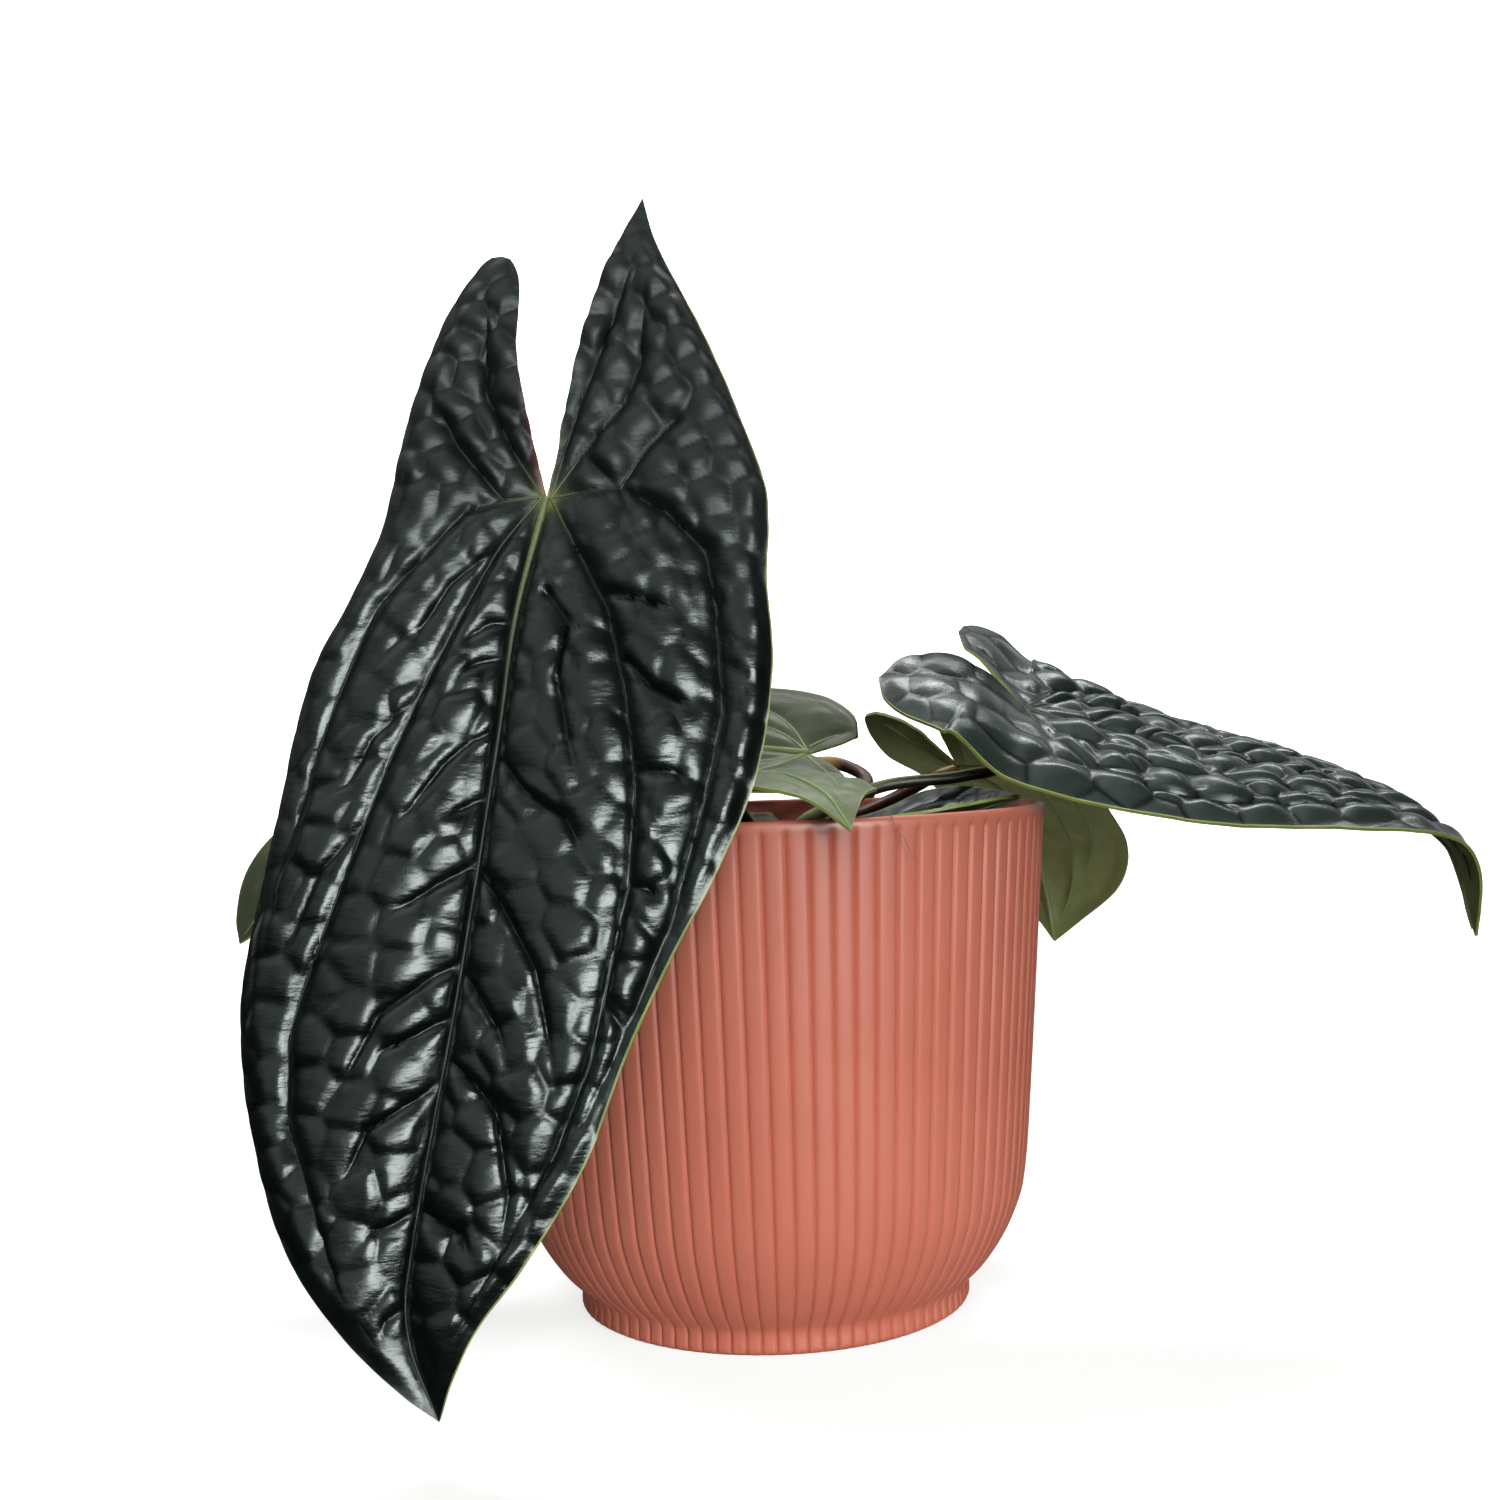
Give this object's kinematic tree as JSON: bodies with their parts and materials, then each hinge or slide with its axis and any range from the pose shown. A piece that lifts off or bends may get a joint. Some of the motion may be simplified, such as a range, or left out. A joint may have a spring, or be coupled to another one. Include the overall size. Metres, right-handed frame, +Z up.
{
  "type": "potted aroid house plant",
  "caption": "Potted anthurium with a tall blistered dark front leaf, a spreading dark leaf and small green leaves, in a ribbed round plastic pot with soil.",
  "frame": {"origin": "centre of the pot's flat foot, on the surface that the pot stands on", "axes": "+Z up along the pot's axis; -Y is the front, where the tall dark leaf hangs before the pot; +X is the side of the spreading dark leaf"},
  "size_m": [0.3275, 0.2, 0.2673],
  "materials": {
    "pot_plastic": "salmon pink satin plastic",
    "soil": "dark loose potting soil",
    "stem_bark": "brown-green stem with old leaf scars",
    "dark_leaf": "glossy blackish green blistered leaf",
    "green_leaf": "soft grey-green young leaf",
    "petiole": "smooth green and brown leaf stalk"
  },
  "bodies": {
    "root": {"pot": "pot_plastic", "soil": "soil", "stem": "stem_bark", "front_leaf_blade": "dark_leaf", "right_leaf_blade": "dark_leaf", "low_leaf_blade": "dark_leaf", "back_leaf_blade": "green_leaf", "left_leaf_blade": "green_leaf", "small_front_leaf_blade": "green_leaf", "front_leaf_petiole": "petiole", "right_leaf_petiole": "petiole", "back_leaf_petiole": "petiole", "left_leaf_petiole": "petiole", "small_front_leaf_petiole": "petiole", "low_leaf_petiole": "petiole"}
  },
  "joints": []
}
